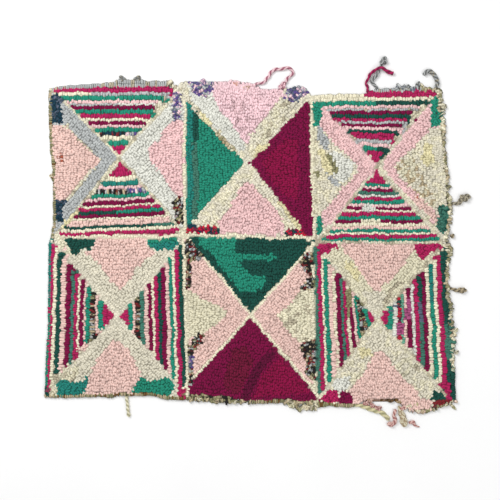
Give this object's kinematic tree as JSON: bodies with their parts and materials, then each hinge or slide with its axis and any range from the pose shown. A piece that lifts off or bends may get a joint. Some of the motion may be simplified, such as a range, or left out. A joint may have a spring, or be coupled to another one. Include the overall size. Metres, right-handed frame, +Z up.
{
  "type": "rag rug",
  "caption": "Flat hooked loop-pile rag rug in hourglass blocks, with whipped edges and loose rag ends.",
  "frame": {"origin": "centre of the rug's underside, on the floor", "axes": "+X along the long side, +Y towards the rim with the pink looped end, +Z up through the pile"},
  "size_m": [1.2766, 1.1127, 0.0189],
  "materials": {
    "jute_ground": "matte",
    "rag_loops": "matte",
    "rag_whipping": "matte",
    "pink_rag": "matte",
    "magenta_rag": "matte",
    "grey_rag": "matte",
    "cream_rag": "matte"
  },
  "bodies": {
    "root": {"ground_cloth": "jute_ground", "loop_pile": "rag_loops", "binding_left": "rag_whipping", "binding_right": "rag_whipping", "binding_top_left": "rag_whipping", "binding_top_right": "rag_whipping", "binding_bottom": "rag_whipping", "binding_bottom_right": "rag_whipping", "loose_end_pink": "pink_rag", "knot_pink": "pink_rag", "loose_end_magenta": "magenta_rag", "loose_end_grey": "grey_rag", "knot_grey": "grey_rag", "loose_end_corner": "grey_rag", "tail_right_upper": "cream_rag", "tail_right_lower": "cream_rag", "tail_bottom_left": "cream_rag", "tail_bottom_cream": "cream_rag", "tail_bottom_tan": "cream_rag", "tail_bottom_pink": "pink_rag", "tail_bottom_tip": "pink_rag", "tail_corner": "cream_rag"}
  },
  "joints": []
}
